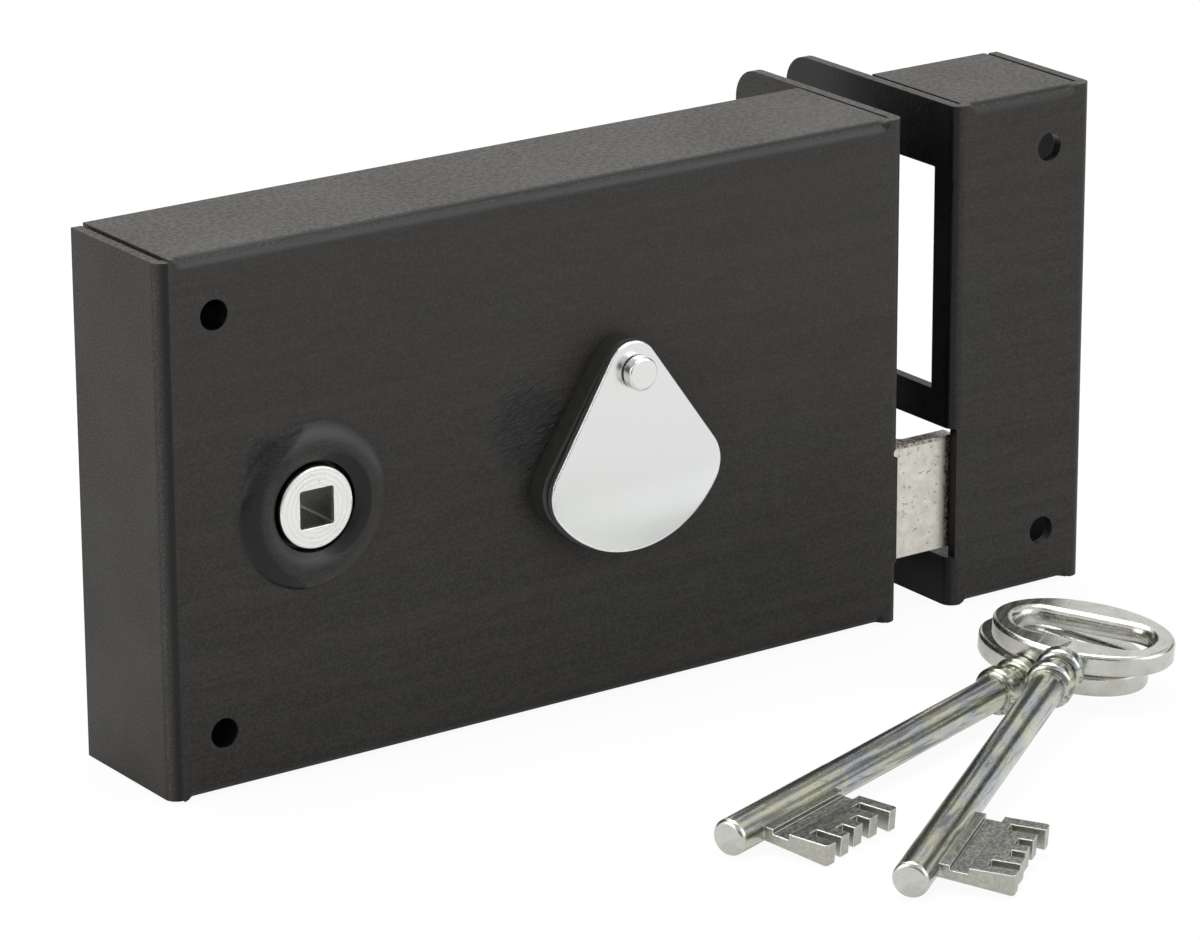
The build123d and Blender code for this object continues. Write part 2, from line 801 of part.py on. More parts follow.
def make_stump():
    """The square stump on the deadbolt's tail that runs in the levers' gates."""
    half = stump_size / 2
    face = lever_faces(0)[0] - lever_gap
    back = lever_faces(lever_count - 1)[1] + lever_gap
    return block(stump_at - half, stump_at + half, face, back, stump_height - half, stump_height + half)


def gate(index):
    """A lever's gate: a pocket at each end of the stump's travel and a channel between them."""
    angle = math.radians(lever_lifts[index])
    x0, z0 = stump_at - lever_post_x, stump_height - lever_post_height
    x1, z1 = x0 + deadbolt_throw, z0
    x1, z1 = x1 * math.cos(angle) + z1 * math.sin(angle), z1 * math.cos(angle) - x1 * math.sin(angle)
    channel_height = stump_size + 2 * gate_clearance
    pocket = channel_height + gate_clearance
    length = math.hypot(x1 - x0, z1 - z0)
    tilt = math.degrees(math.atan2(z1 - z0, x1 - x0))
    shape = Pos((x0 + x1) / 2, (z0 + z1) / 2) * Rot(0, 0, tilt) * Rectangle(length, channel_height)
    for x, z in ((x0, z0), (x1, z1)):
        shape += Pos(x, z) * Rectangle(pocket, pocket)
    return Pos(lever_post_x, lever_post_height) * shape


def make_lever(index):
    """One lever, with its eye on the post, its belly over the key and its gate."""
    belly = key_height + lever_belly_rises[index] + lever_belly_radius
    circles = disc(lever_eye_radius, lever_post_x, lever_post_height)
    circles += disc(lever_belly_radius, key_x, belly)
    circles += disc(lever_nose_radius, lever_nose_x, lever_nose_height)
    outline = make_hull(circles.edges())
    outline -= disc(lever_post_radius + running_clearance, lever_post_x, lever_post_height)
    outline -= gate(index)
    return upright(outline, *lever_faces(index))


def make_lever_post():
    """The post that the levers turn on and the deadbolt's tail slides on."""
    x, z = lever_post_x, lever_post_height
    shoulder_end = lever_faces(0)[0] - sliding_clearance
    post = rod_y(lever_post_radius, x, z, front_inside, back_plate_front)
    return post + rod_y(lever_post_shoulder_radius, x, z, front_inside, shoulder_end)


def make_lever_washers():
    """The thin rings that keep the levers and the deadbolt's tail apart on the post."""
    tail = deadbolt_tail_faces()
    before = lever_count // 2
    faces = [lever_faces(i) for i in range(before)] + [tail]
    faces += [lever_faces(i) for i in range(before, lever_count)]
    rings = []
    for ahead, behind in zip(faces, faces[1:]):
        middle = (ahead[1] + behind[0]) / 2
        y0, y1 = middle - lever_washer_thickness / 2, middle + lever_washer_thickness / 2
        ring = rod_y(lever_post_shoulder_radius, lever_post_x, lever_post_height, y0, y1)
        hole = lever_post_radius + running_clearance
        rings.append(ring - rod_y(hole, lever_post_x, lever_post_height, y0 - overrun, y1 + overrun))
    return rings


def make_leaf_block():
    """The block under the top flange that holds the levers' leaf springs."""
    y0, y1 = lever_faces(0)[0], lever_faces(lever_count - 1)[1]
    high = top - sheet
    return block(leaf_block_left, leaf_block_right, y0, y1, high - leaf_block_drop, high)


def make_leaf(index):
    """One leaf spring, from the block down to its lever's top edge."""
    x0, z0 = leaf_block_right + leaf_gap, top - sheet - leaf_block_drop / 2
    eye_top = lever_post_height + lever_eye_radius
    nose_top = lever_nose_height + lever_nose_radius
    along = (leaf_contact_x - lever_post_x) / (lever_nose_x - lever_post_x)
    x1, z1 = leaf_contact_x, eye_top + along * (nose_top - eye_top) + leaf_gap + leaf_thickness
    length = math.hypot(x1 - x0, z1 - z0)
    tilt = math.degrees(math.atan2(z1 - z0, x1 - x0))
    strip = Pos((x0 + x1) / 2, (z0 + z1) / 2) * Rot(0, 0, tilt) * Rectangle(length, leaf_thickness)
    y0, y1 = lever_faces(index)
    middle = (y0 + y1) / 2
    return upright(strip, middle - leaf_width / 2, middle + leaf_width / 2)


def make_mounting_tubes():
    """The tubes that the case's two fixing screws pass through."""
    tubes = []
    for z in fixing_heights:
        x = left_end + case_fixing_inset
        tube = rod_y(tube_radius, x, z, front_inside, back_plate_front)
        tubes.append(tube - rod_y(fixing_radius, x, z, front_inside - overrun, back_plate_front + overrun))
    return tubes


def pillar_places():
    """X and Z of the back plate's four pillars, two along the top and two along the bottom."""
    high, low = top - pillar_edge_inset, bottom + pillar_edge_inset
    places = []
    for insets, z in ((upper_pillar_insets, high), (lower_pillar_insets, low)):
        from_left, from_forend = insets
        places += [(left_end + from_left, z), (forend - from_forend, z)]
    return places


def make_pillars():
    """The four tapped pillars that carry the back plate."""
    pillars = []
    for x, z in pillar_places():
        pillar = rod_y(pillar_radius, x, z, front_inside, back_plate_front)
        hole_front = back_plate_front - screw_length - sliding_clearance
        pillars.append(pillar - rod_y(screw_hole_radius, x, z, hole_front, back_plate_front + overrun))
    return pillars


def screw_cone(x, z, slack):
    """A countersunk head at the door face, or its seat."""
    big = screw_head_radius + slack
    small = screw_radius + slack
    profile = Polygon((0, 0), (big, 0), (small, back_plate_thickness), (0, back_plate_thickness), align=None)
    return Pos(x, 0, z) * Rot(90, 0, 0) * revolve(Rot(90, 0, 0) * profile, Axis.Z, 360)


def make_back_screws():
    """The four countersunk screws in the back plate."""
    screws = []
    for x, z in pillar_places():
        screw = screw_cone(x, z, 0)
        screw += rod_y(screw_radius, x, z, back_plate_front - screw_length, back_plate_front)
        half = screw_slot_width / 2
        reach = screw_head_radius + overrun
        screw -= block(x - reach, x + reach, -screw_slot_depth, overrun, z - half, z + half)
        screws.append(screw)
    return screws


def make_back_plate():
    """The flat plate that closes the case at the door face."""
    margin = sheet + back_plate_clearance
    plate = block(left_end + margin, forend - margin, back_plate_front, 0, bottom + margin, top - margin)
    hole = follower_boss_radius + running_clearance
    plate -= rod_y(hole, follower_x, 0, back_plate_front - overrun, overrun)
    plate -= upright(keyhole(), back_plate_front - overrun, overrun)
    for z in fixing_heights:
        plate -= rod_y(fixing_radius, left_end + case_fixing_inset, z, back_plate_front - overrun, overrun)
    for x, z in pillar_places():
        plate -= screw_cone(x, z, running_clearance)
    return plate


def bow():
    """The key's oval bow with its finger slot, in its own plane."""
    ring = extrude(Ellipse(key_bow_depth / 2, key_bow_width / 2), key_bow_thickness / 2, both=True)
    ring = fillet(ring.edges(), key_bow_rounding)
    straight = key_slot_width - key_slot_depth
    slot = Rectangle(key_slot_depth, straight)
    for side in (-1, 1):
        slot += Pos(0, side * straight / 2) * Circle(key_slot_depth / 2)
    ring -= extrude(slot, key_bow_thickness, both=True)
    rims = [e for e in ring.edges() if abs(abs(e.center().Z) - key_bow_thickness / 2) < same_place]
    rims = [e for e in rims if e.bounding_box().size.Y <= key_slot_width]
    rims = [e for e in rims if e.bounding_box().size.X <= key_slot_depth]
    return Pos(key_bow_at, 0, 0) * fillet(rims, key_slot_rounding)


def bit():
    """The key's bit: it widens outwards, with a groove beside the shank and cuts for the levers."""
    half = key_bit_thickness / 2
    root = key_bit_root_thickness / 2
    x0, x1 = key_bit_at, key_bit_at + key_bit_length
    outline = Polyline(
        (x0, 0, root), (x0, -key_shank_radius, root), (x0, -key_bit_reach, half), (x0, -key_bit_reach, -half),
        (x0, -key_shank_radius, -root), (x0, 0, -root), (x0, 0, root),
    )
    body = extrude(make_face(outline), amount=key_bit_length, dir=(1, 0, 0))
    ends = [e for e in body.edges() if abs(e.center().Y + key_bit_reach) < same_place]
    body = fillet([e for e in ends if abs(e.center().X - (x0 + x1) / 2) > same_place], key_bit_rounding)
    body -= block(x0 - overrun, x1 + overrun, -key_groove_at - key_groove_width, -key_groove_at,
                  half - key_groove_depth, half + overrun)
    count = len(key_cut_depths)
    width = key_bit_length * key_cut_width_share / count
    tooth = (key_bit_length - count * width) / (count + 1)
    for i in range(count):
        start = x0 + tooth + i * (tooth + width)
        body -= block(start, start + width, -key_bit_reach - overrun, -key_bit_reach + key_cut_depths[i],
                      -half - overrun, half + overrun)
    for i in range(1, count):
        start = x0 + i * (tooth + width)
        body -= block(start - width / 2, start + tooth + width / 2, -key_bit_reach - overrun,
                      -key_bit_reach + key_tooth_shortenings[i], -half - overrun, half + overrun)
    return body


def make_key():
    """One key along +X from its tip, with the bit towards -Y and the bow flat."""
    rounded = key_tip_rounding
    first, second = key_bead_places
    blend_start = second + key_bead_length
    blend_end = key_bow_at - key_slot_depth / 2 - key_slot_rounding
    outline = Polyline(
        (0, 0), (0, key_tip_radius), (key_step_at, key_tip_radius), (key_step_at, key_shank_radius),
        (first, key_shank_radius), (first, key_neck_radius), (blend_start, key_neck_radius),
        (blend_end, key_bow_thickness / 2), (blend_end, 0), (0, 0),
    )
    shank = revolve(make_face(outline), Axis.X, 360)
    shank = fillet(shank.edges().sort_by(Axis.X)[0], rounded)
    for x in (first, second):
        bead = Pos(x, 0, 0) * Rot(0, 90, 0) * Cylinder(key_bead_radius, key_bead_length)
        shank += fillet(bead.edges(), key_bead_length / 3)
    return shank + bow() + bit()


def key_rest(tip, heading, slope):
    """Lays a key on the surface, on its tip and the end of its bit, rising at a slope towards its bow."""
    pitch = math.degrees(math.atan(slope))
    roll = math.degrees(math.asin((key_tip_radius - key_bit_thickness / 2) / key_bit_reach))
    laid = Rot(0, 0, heading) * Rot(0, -pitch, 0) * Rot(roll, 0, 0)
    return Pos(tip[0], tip[1], bottom + key_tip_radius) * laid


def key_rests():
    """Where both keys lie: key 1 on its tip and bead, key 2's bow on key 1's bow."""
    first = (key_bead_radius - key_tip_radius) / (key_bead_places[0] - key_bead_length / 2)
    second = first + (key_bow_thickness + key_2_bow_lift) / key_bow_at
    return key_rest(key_1_tip, key_1_heading, first), key_rest(key_2_tip, key_2_heading, second)


def save(name, *solids):
    """Writes one node: a single solid, or a group of separate ones."""
    shape = solids[0] if len(solids) == 1 else Compound(children=[Part(s.wrapped) for s in solids])
    shape.label = name
    export_step(shape, f"parts/{name}.step")


os.makedirs("parts", exist_ok=True)
save("case_front", make_case_front())
save("back_plate", make_back_plate())
save("back_plate_pillars", *make_pillars())
save("back_plate_screws", *make_back_screws())
save("mounting_tubes", *make_mounting_tubes())
save("keyhole_block", make_keyhole_block())
save("drop_cover", make_drop_cover())
save("cover_rivet", make_cover_rivet())
save("follower", make_follower())
save("latch_bolt", make_latch_bolt())
save("latch_tail", make_latch_tail())
save("latch_pins", *make_latch_pins())
save("latch_rod", make_latch_rod())
save("latch_spring", make_latch_spring())
save("spring_stop", make_spring_stop())
save("latch_guide_post", make_guide_post())
save("deadbolt_head", make_deadbolt_head())
save("deadbolt_tail", make_deadbolt_tail())
save("deadbolt_pins", *make_deadbolt_pins())
save("bolt_stump", make_stump())
save("lever_post", make_lever_post())
save("lever_washers", *make_lever_washers())
save("leaf_spring_block", make_leaf_block())
for i in range(lever_count):
    save(f"lever_{i + 1}", make_lever(i))
    save(f"lever_{i + 1}_leaf_spring", make_leaf(i))
save("keep", make_keep())
for name, rest in zip(("key_1", "key_2"), key_rests()):
    save(name, rest * make_key())
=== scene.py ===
import json
import math
from types import SimpleNamespace

import bpy
from mathutils import Matrix, Vector


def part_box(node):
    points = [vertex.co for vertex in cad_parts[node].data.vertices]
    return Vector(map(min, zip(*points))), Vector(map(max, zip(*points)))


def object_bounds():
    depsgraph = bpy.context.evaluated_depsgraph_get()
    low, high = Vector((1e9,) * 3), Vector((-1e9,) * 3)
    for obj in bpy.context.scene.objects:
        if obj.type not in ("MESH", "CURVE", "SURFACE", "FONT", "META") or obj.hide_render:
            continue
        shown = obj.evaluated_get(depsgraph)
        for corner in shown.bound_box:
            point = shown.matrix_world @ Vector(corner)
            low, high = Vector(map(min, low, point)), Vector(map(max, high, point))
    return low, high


MM = 0.001
WHITE = (1, 1, 1)

# Camera, as found from the edges and corners of the case and the keep; angles in degrees
CAMERA_AZIMUTH = 35.256
CAMERA_DROP = 18.552
CAMERA_ROLL = -0.212
CAMERA_PLACE = Vector((-545.67, -816.63, 318.2)) * MM
FOCAL_PIXELS = 5657.1
IMAGE_WIDTH = 1200
SENSOR_WIDTH = 36.0
CLIP_START = 0.01
CLIP_END = 100.0

# Floor, just below the part's foot
FLOOR_SIZE = 6.0
FLOOR_DROP = 0.2 * MM
FLOOR_COLOUR = (0.88, 0.88, 0.88)
FLOOR_ROUGHNESS = 0.9
# Share of plain white over the floor: as the camera sees it, and as a mirror does
FLOOR_OWN_SHARE = 0.93
MIRRORED_FLOOR_SHARE = 0.8
# Painted shadow round the lock's foot, for what a mirror sees: what it loses of that share there, and how far
# out from there
FLOOR_SHADE_SHARE = 0.7
FLOOR_SHADE_REACH = 70 * MM

# Even light from all round
SKY_COLOUR = (1.0, 0.99, 0.975)
SKY_STRENGTH = 0.62

# Lamps: name, place, size, power, colour
LAMPS = [
    ("top_softbox", (0.1, 0.35, 1.6), 1.4, 26.0, (1.0, 0.985, 0.96)),
    ("left_softbox", (-1.5, 0.1, 0.6), 1.0, 10.0, (1.0, 0.98, 0.95)),
    ("front_softbox", (0.9, -1.4, 0.7), 1.1, 9.0, (0.96, 0.98, 1.0)),
]
# What the lamps and the cards face
AIM = Vector((0.02, -0.03, -0.01))

# Dark cards that only mirrored rays see: name, centre, size
CARDS = [
    ("card_camera_side", (-0.95, -1.0, 0.1), (1.5, 1.1)),
    ("card_overhead", (-0.35, -0.55, 0.95), (0.6, 0.3)),
    ("card_right", (1.25, -0.10, 0.43), (0.95, 0.37)),
    ("card_high_right", (0.93, 0.29, 0.83), (0.36, 0.20)),
]
CARD_COLOUR = (0.02, 0.02, 0.02)

# How alike a rounded and a flat normal are where an edge shows in full, and where it ends
EDGE_LIKENESS = (0.80, 0.995)
EDGE_SAMPLES = 6

# Ways a face can look: an axis, and how far along it, from -1 to 1, a mark starts and where it is full
LOOKS = {
    "front": ("Y", -0.8, -0.97),
    "wrinkled": ("Y", -0.3, -0.6),
    "frontward": ("Y", -0.02, -0.12),
    "left": ("X", -0.9, -0.99),
    "hidden_left": ("X", -0.5, -0.8),
    "ring_left": ("X", -0.02, -0.25),
    "ring_not_up": ("Z", 0.32, 0.12),
    "ring_up": ("Z", 0.02, 0.22),
    "top": ("Z", 0.95, 0.99),
    "brow_lower": ("Z", 0.04, 0.35),
    "brow_upper": ("Z", 0.76, 0.50),
    "crest_lower": ("Z", 0.74, 0.82),
    "crest_upper": ("Z", 0.985, 0.94),
    "key_top": ("Z", 0.5, 0.8),
}
# How far the painted shade of the left bend looks along X where it starts and where it ends
DARK_BENDS = {
    "case_front": ((-0.06, -0.12), (-0.98, -0.25)),
    "keep": ((-0.35, -0.75), (-1.01, -1.0)),
}

# Powder coat of the case and the keep: its plain tones, then its marks, its painted shade, painted highlights
# and painted reflections
COAT_COOL = (0.0180, 0.0172, 0.0165)
COAT_WARM = (0.0215, 0.0195, 0.0166)
# Painted shade on the lower front and on the left face
COAT_PAINTED_SHADE = (0.0060, 0.0054, 0.0050)
COAT_STREAK = (0.0300, 0.0285, 0.0265)
COAT_SPECK = (0.043, 0.040, 0.036)
# Lighter edges: partly wear, partly a painted highlight
COAT_WEAR_AND_HIGHLIGHT = (0.060, 0.058, 0.055)
# Painted shade in the creases of the wrinkles
COAT_CREASE_SHADE = (0.006, 0.006, 0.006)
# Painted reflections on the upper bend: a lighter band, and a dark crest above it
COAT_BROW_REFLECTION = (0.037, 0.038, 0.042)
COAT_CREST_REFLECTION = (0.006, 0.006, 0.006)
# Painted shade where the coat mirrors no light, and inside the box
COAT_SHADOW = (0.003, 0.003, 0.003)
TOP_DARK = (0.012, 0.011, 0.010)
TOP_LIGHT = (0.054, 0.051, 0.045)
# Painted light on the raised ring where it faces up, inside and outside its ridge
RING_INNER_PAINTED_LIGHT = (0.026, 0.026, 0.027)
RING_OUTER_PAINTED_LIGHT = (0.036, 0.036, 0.040)
COAT_SPECULAR = 0.26
COAT_EDGE_RADIUS = 0.25 * MM
GRAIN_HEIGHT = 0.05 * MM
LINES_HEIGHT = 0.06 * MM
WRINKLES_HEIGHT = 0.4 * MM
# Degrees by which the long lines and the wrinkles slope
LINES_TILT = -2
WRINKLES_TILT = -20
# How strongly each mark, painted highlight and painted shade shows
STREAK_SHARE = 0.3
TOP_SHARE = 0.8
WEAR_AND_HIGHLIGHT_SHARE = 0.25
CREASE_SHADE_SHARE = 0.85
# How much less grain the front has, and how much fewer specks the left face has, which keeps its painted
# shade dark
FRONT_EVENNESS = 0.6
LEFT_EVENNESS = 0.6
# Roughness of sleek and dull patches, what the shadows lose of it, and the ring's share of that loss
COAT_ROUGHNESS = (0.46, 0.56)
SLEEK_LOSS = 0.2
RING_SLEEKNESS = 0.5
# Share of the painted shade at the foot and at the top of the front and of the left face
FRONT_SHADE = {"case_front": (0.95, 0.1), "keep": (0.95, 0.4)}
LEFT_SHADE = (1.0, 0.6)
# How strongly the upper bend shows its painted reflection, a lighter band, and how far below the top it may
# begin
BROW_REFLECTION_SHARE = {"case_front": 1.0, "keep": 0.3}
BROW_BAND = (-5 * MM, -4 * MM)
# Height above the foot over which the shadows turn smoother
SLEEK_RISE = (14 * MM, 22 * MM)
# How far into the keep its left plate reaches at most, which lies hidden from the light and is painted in
# shade
KEEP_SIDE_DEPTH = (3.3 * MM, 2.3 * MM)
# A little less than the thickness of the folded sheet: what lies deeper is inside the box, and is painted in
# shade
SKIN = 1.9 * MM
# Middles of the wrinkled paint, from the axis of the square and the cover's middle, and their fades,
# with the strength beside the cover and elsewhere
EMBOSS_WRINKLES = Vector((-9.5, 0, 10)) * MM
EMBOSS_WRINKLES_FADE = (2 * MM, 8 * MM)
COVER_WRINKLES = Vector((-20, 0, 6)) * MM
COVER_WRINKLES_FADE = (5 * MM, 16 * MM)
COVER_WRINKLES_SHARE = 0.8
STRAY_WRINKLES_SHARE = 0.3
# Radius of the raised ring's foot and of its ridge, and how they fade
RING_REACH = 15.4 * MM
RING_FADE = (0, -0.6 * MM)
RIDGE_REACH = 12.3 * MM
RIDGE_FADE = (-1 * MM, 1 * MM)

# Black plastic of the keyhole block
PLASTIC_DARK = (0.014, 0.014, 0.013)
PLASTIC_LIGHT = (0.032, 0.032, 0.030)
PLASTIC_ROUGHNESS = 0.36
PLASTIC_SPECULAR = 0.5
BLOCK_EDGE_RADIUS = 0.3 * MM
BLOCK_GRAIN_HEIGHT = 0.01 * MM

# Drop cover, and the height above its foot over which painted light brightens it downwards
COVER_COOL = (0.69, 0.705, 0.71)
COVER_WARM = (0.71, 0.71, 0.70)
COVER_FOOT_PAINTED_LIGHT = (0.85, 0.86, 0.88)
# Lighter edges: partly wear, partly a painted highlight
COVER_EDGE_WEAR_AND_HIGHLIGHT = (0.95, 0.96, 0.97)
COVER_ROUGHNESS = 0.22
COVER_EDGE_RADIUS = 0.5 * MM
COVER_HAIR_HEIGHT = 0.0012 * MM
COVER_PAINTED_LIGHT_RISE = (15 * MM, 5 * MM)

# Follower, and the rings turned on its face: radians of a sine per metre, and how far they waver
TURNED_LIGHT = (0.80, 0.80, 0.79)
TURNED_DARK = (0.45, 0.45, 0.44)
FOLLOWER_PIT = (0.55, 0.55, 0.53)
# Lighter edges: partly wear, partly a painted highlight
FOLLOWER_EDGE_WEAR_AND_HIGHLIGHT = (0.95, 0.95, 0.94)
FOLLOWER_ROUGHNESS = (0.26, 0.36)
FOLLOWER_EDGE_RADIUS = 0.2 * MM
FOLLOWER_PIT_DEPTH = 0.02 * MM
TURNED_HEIGHT = 0.008 * MM
TURNED_SHARE = 0.2
TURNED_RADIANS = 7000
TURNED_WOBBLE = 0.5 * MM
# Painted shade in the square and further out, on what lies behind the face: how far out, past the face and
# before the back it changes
SQUARE_PAINTED_SHADE = (0.42, 0.43, 0.40)
OUTER_PAINTED_SHADE = (0.02, 0.02, 0.02)
SQUARE_REACH = 5.4 * MM
SQUARE_FADE = (0, 1 * MM)
RECESS_SHADE_START = (0.5 * MM, 1.3 * MM)
RECESS_SHADE_END = (-6 * MM, -4 * MM)

# Latch bolt, and where its painted shade starts, from its top and from its tip, and how far that wavers
LATCH_DARK = (0.53, 0.51, 0.455)
LATCH_LIGHT = (0.63, 0.61, 0.56)
LATCH_PIT = (0.40, 0.37, 0.32)
# Mottled painted shade on the bolt's top and tip
LATCH_SHADE_DARK = (0.10, 0.095, 0.085)
LATCH_SHADE_LIGHT = (0.44, 0.40, 0.36)
LATCH_ROUGHNESS = (0.5, 0.34)
LATCH_CLOUD_HEIGHT = 0.03 * MM
LATCH_PIT_DEPTH = 0.08 * MM
LATCH_TOP_SHADE = (-0.9 * MM, -0.5 * MM)
LATCH_TIP_SHADE = (-1.9 * MM, -1.0 * MM)
LATCH_TIP_WOBBLE = 1.2 * MM

# Where each key lies: its tip and its heading in degrees
KEY_PLACES = {
    "key_1": (Vector((-15.7, -103.9, -45.7)) * MM, 17.8),
    "key_2": (Vector((-2.3, -136.6, -45.7)) * MM, 34.3),
}
# Parts of a key in its own frame: X runs from its tip to its bow, and the bit points along -Y
TIP_FACE = (1.4 * MM, 0.7 * MM)
BIT_SIDE = (-4.4 * MM, -3.6 * MM)
BIT_END = (40 * MM, 45 * MM)
BOW_START = (90 * MM, 94 * MM)
KEY_COOL = (0.40, 0.425, 0.45)
KEY_WARM = (0.52, 0.52, 0.40)
KEY_STREAK = (0.14, 0.14, 0.14)
BOW_LIGHT = (0.54, 0.54, 0.51)
BOW_DARK = (0.44, 0.44, 0.39)
BOW_SCRATCH = (0.22, 0.22, 0.21)
BIT_SIDE_DARK = (0.34, 0.34, 0.30)
BIT_SIDE_LIGHT = (0.42, 0.42, 0.375)
BIT_TOP_DARK = (0.13, 0.13, 0.12)
BIT_TOP_LIGHT = (0.27, 0.27, 0.25)
# Lighter rims: partly wear, partly a painted highlight
KEY_RIM_WEAR_AND_HIGHLIGHT = (0.80, 0.80, 0.76)
# How strongly the dark marks show
STREAKS_SHARE = 0.85
STROKES_SHARE = 0.6
SCRATCHES_SHARE = 0.35
# Roughness between and on the streaks, and what the bit adds to it
KEY_ROUGHNESS = (0.18, 0.34)
BIT_DULLNESS = 0.12
KEY_EDGE_RADIUS = 0.35 * MM
KEY_STREAK_HEIGHT = 0.02 * MM
KEY_SPECK_HEIGHT = 0.04 * MM
KEY_STAIN_HEIGHT = 0.03 * MM

# Steel of the mechanism and the back: colour and roughness
STEELS = {
    "zinc_plated_steel": ((0.66, 0.68, 0.70), 0.32),
    "lever_steel": ((0.58, 0.56, 0.52), 0.36),
    "spring_steel": ((0.42, 0.42, 0.44), 0.3),
    "blacked_steel": ((0.02, 0.02, 0.02), 0.6),
}
# How dark worn steel is beside its plain colour, how much rougher, and the height of its fine lines
STEEL_WEAR = 0.84
STEEL_DULLNESS = 0.1
STEEL_LINES_HEIGHT = 0.008 * MM

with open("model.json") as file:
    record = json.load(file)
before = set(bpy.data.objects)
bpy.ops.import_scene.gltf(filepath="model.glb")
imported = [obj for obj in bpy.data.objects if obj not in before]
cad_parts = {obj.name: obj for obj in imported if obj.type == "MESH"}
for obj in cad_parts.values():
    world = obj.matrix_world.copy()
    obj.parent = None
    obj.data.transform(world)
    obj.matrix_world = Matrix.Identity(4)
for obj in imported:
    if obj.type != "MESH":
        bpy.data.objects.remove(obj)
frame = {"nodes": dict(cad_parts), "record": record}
cad_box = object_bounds()


def feed(tree, socket, value):
    """Links an input to another socket, or sets it to a number, a vector or a colour."""
    if isinstance(value, bpy.types.NodeSocket):
        tree.links.new(value, socket)
    elif socket.type == "RGBA":
        socket.default_value = (*value, 1.0)
    else:
        socket.default_value = value


def node(tree, kind, inputs=None, **settings):
    """Adds a shader node, sets its options and feeds its inputs."""
    made = tree.nodes.new(kind)
    for name, value in settings.items():
        setattr(made, name, value)
    for name, value in (inputs or {}).items():
        feed(tree, made.inputs[name], value)
    return made


def new_material(name):
    """A material with a tree of nodes."""
    made = bpy.data.materials.new(name)
    made.use_nodes = True
    return made


def new_finish(name):
    """A material for the part, with its tree and the place of a point in the row frame."""
    made = new_material(name)
    return made, made.node_tree, node(made.node_tree, "ShaderNodeTexCoord").outputs["Object"]


def dress(made, **values):
    """Feeds the inputs of a material's own shader, and returns the material."""
    shader = made.node_tree.nodes["Principled BSDF"]
    for name, value in values.items():
        feed(made.node_tree, shader.inputs[name.replace("_", " ")], value)
    return made


def maths(tree, operation, a, b=0.0):
    """One arithmetic step on two values."""
    return node(tree, "ShaderNodeMath", {0: a, 1: b}, operation=operation).outputs[0]


def product(tree, first, *others):
    """The product of values."""
    for other in others:
        first = maths(tree, "MULTIPLY", first, other)
    return first


def largest(tree, first, *others):
    """The largest of values."""
    for other in others:
        first = maths(tree, "MAXIMUM", first, other)
    return first


def rest_of(tree, share):
    """What a share leaves of 1."""
    return maths(tree, "SUBTRACT", 1.0, share)


def vectors(tree, operation, a, b=(0, 0, 0)):
    """One step on two vectors, or on the first alone."""
    made = node(tree, "ShaderNodeVectorMath", {0: a, 1: b}, operation=operation)
    return made.outputs["Value" if operation in ("DOT_PRODUCT", "LENGTH") else "Vector"]


def axes(tree, vector):
    """The X, Y and Z of a vector."""
    return node(tree, "ShaderNodeSeparateXYZ", {"Vector": vector}).outputs


def ramp(tree, value, low, high, start=0.0, end=1.0):
    """Stretches a value from low..high to start..end, smoothly and within those ends."""
    made = node(tree, "ShaderNodeMapRange", {
        "Value": value, "From Min": low, "From Max": high, "To Min": start, "To Max": end,
    }, interpolation_type="SMOOTHSTEP")
    return made.outputs["Result"]


def past(tree, value, datum, reach, start=0.0, end=1.0):
    """A ramp between two distances past a datum, negative ones being before it."""
    return ramp(tree, value, datum + reach[0], datum + reach[1], start, end)


def mixed(tree, share, a, b):
    """Mixes two colours by a share."""
    made = node(tree, "ShaderNodeMix", {"Factor": share}, data_type="RGBA")
    for name, value in (("A", a), ("B", b)):
        feed(tree, next(s for s in made.inputs if s.name == name and s.type == "RGBA"), value)
    return next(s for s in made.outputs if s.type == "RGBA")


def stretched(tree, place, scale, turn=(0, 0, 0), origin=(0, 0, 0)):
    """Coordinates in a turned and moved frame, scaled along each of its axes."""
    local = node(tree, "ShaderNodeMapping", {"Vector": place, "Location": origin, "Rotation": turn},
                 vector_type="TEXTURE")
    return node(tree, "ShaderNodeMapping", {"Vector": local.outputs[0], "Scale": scale}).outputs[0]


def noise(tree, place, waves, detail=3.0, roughness=0.55, distortion=0.0):
    """Noise from 0 to 1, with so many waves per metre."""
    made = node(tree, "ShaderNodeTexNoise", {
        "Vector": place, "Scale": waves, "Detail": detail, "Roughness": roughness, "Distortion": distortion,
    })
    return made.outputs["Fac"]


def drawn_noise(tree, place, waves, detail=3.0, roughness=0.55, distortion=0.0, tilt=0):
    """Noise with its own waves per metre along each axis, tilted by some degrees about Y."""
    local = stretched(tree, place, waves, (0, math.radians(tilt), 0))
    return noise(tree, local, 1.0, detail, roughness, distortion)


def bump(tree, pattern, height, under=None):
    """A bump of a real height in metres, on top of another one if given."""
    inputs = {"Height": pattern, "Distance": height, "Strength": 1.0}
    if under is not None:
        inputs["Normal"] = under
    return node(tree, "ShaderNodeBump", inputs).outputs[0]


def rounded(tree, radius):
    """A normal that rounds sharp edges."""
    return node(tree, "ShaderNodeBevel", {"Radius": radius}, samples=EDGE_SAMPLES).outputs[0]


def on_edges(tree, soft):
    """A share that is 1 where a rounded normal rounds an edge, and 0 on flat faces."""
    flat = node(tree, "ShaderNodeNewGeometry").outputs["Normal"]
    return ramp(tree, vectors(tree, "DOT_PRODUCT", soft, flat), *EDGE_LIKENESS, 1.0, 0.0)


def looking(tree, axis):
    """How far a face looks along an axis of its node's own frame, from -1 to 1."""
    return axes(tree, node(tree, "ShaderNodeTexCoord").outputs["Normal"])[axis]


